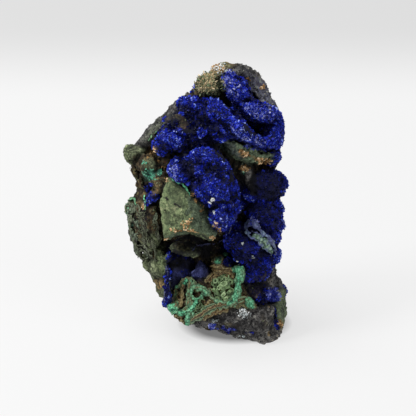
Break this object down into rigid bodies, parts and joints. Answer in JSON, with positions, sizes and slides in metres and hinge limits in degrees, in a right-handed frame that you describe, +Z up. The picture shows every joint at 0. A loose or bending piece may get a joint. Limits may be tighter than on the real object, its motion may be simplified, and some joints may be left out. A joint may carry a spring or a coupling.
{
  "type": "azurite specimen",
  "caption": "Upright lump of natural rock with knobbly blue azurite, a chipped green-grey boulder face and curled banded malachite near its foot.",
  "frame": {"origin": "on the table under the middle of the specimen's box", "axes": "+Z up, +Y from the display face to the back, +X to the right as seen from the front"},
  "size_m": [0.0604, 0.0496, 0.0996],
  "materials": {
    "azurite_rock": "finely crystalline blue azurite on rough grey-green rock"
  },
  "bodies": {
    "root": {"azurite_specimen": "azurite_rock"}
  },
  "joints": []
}
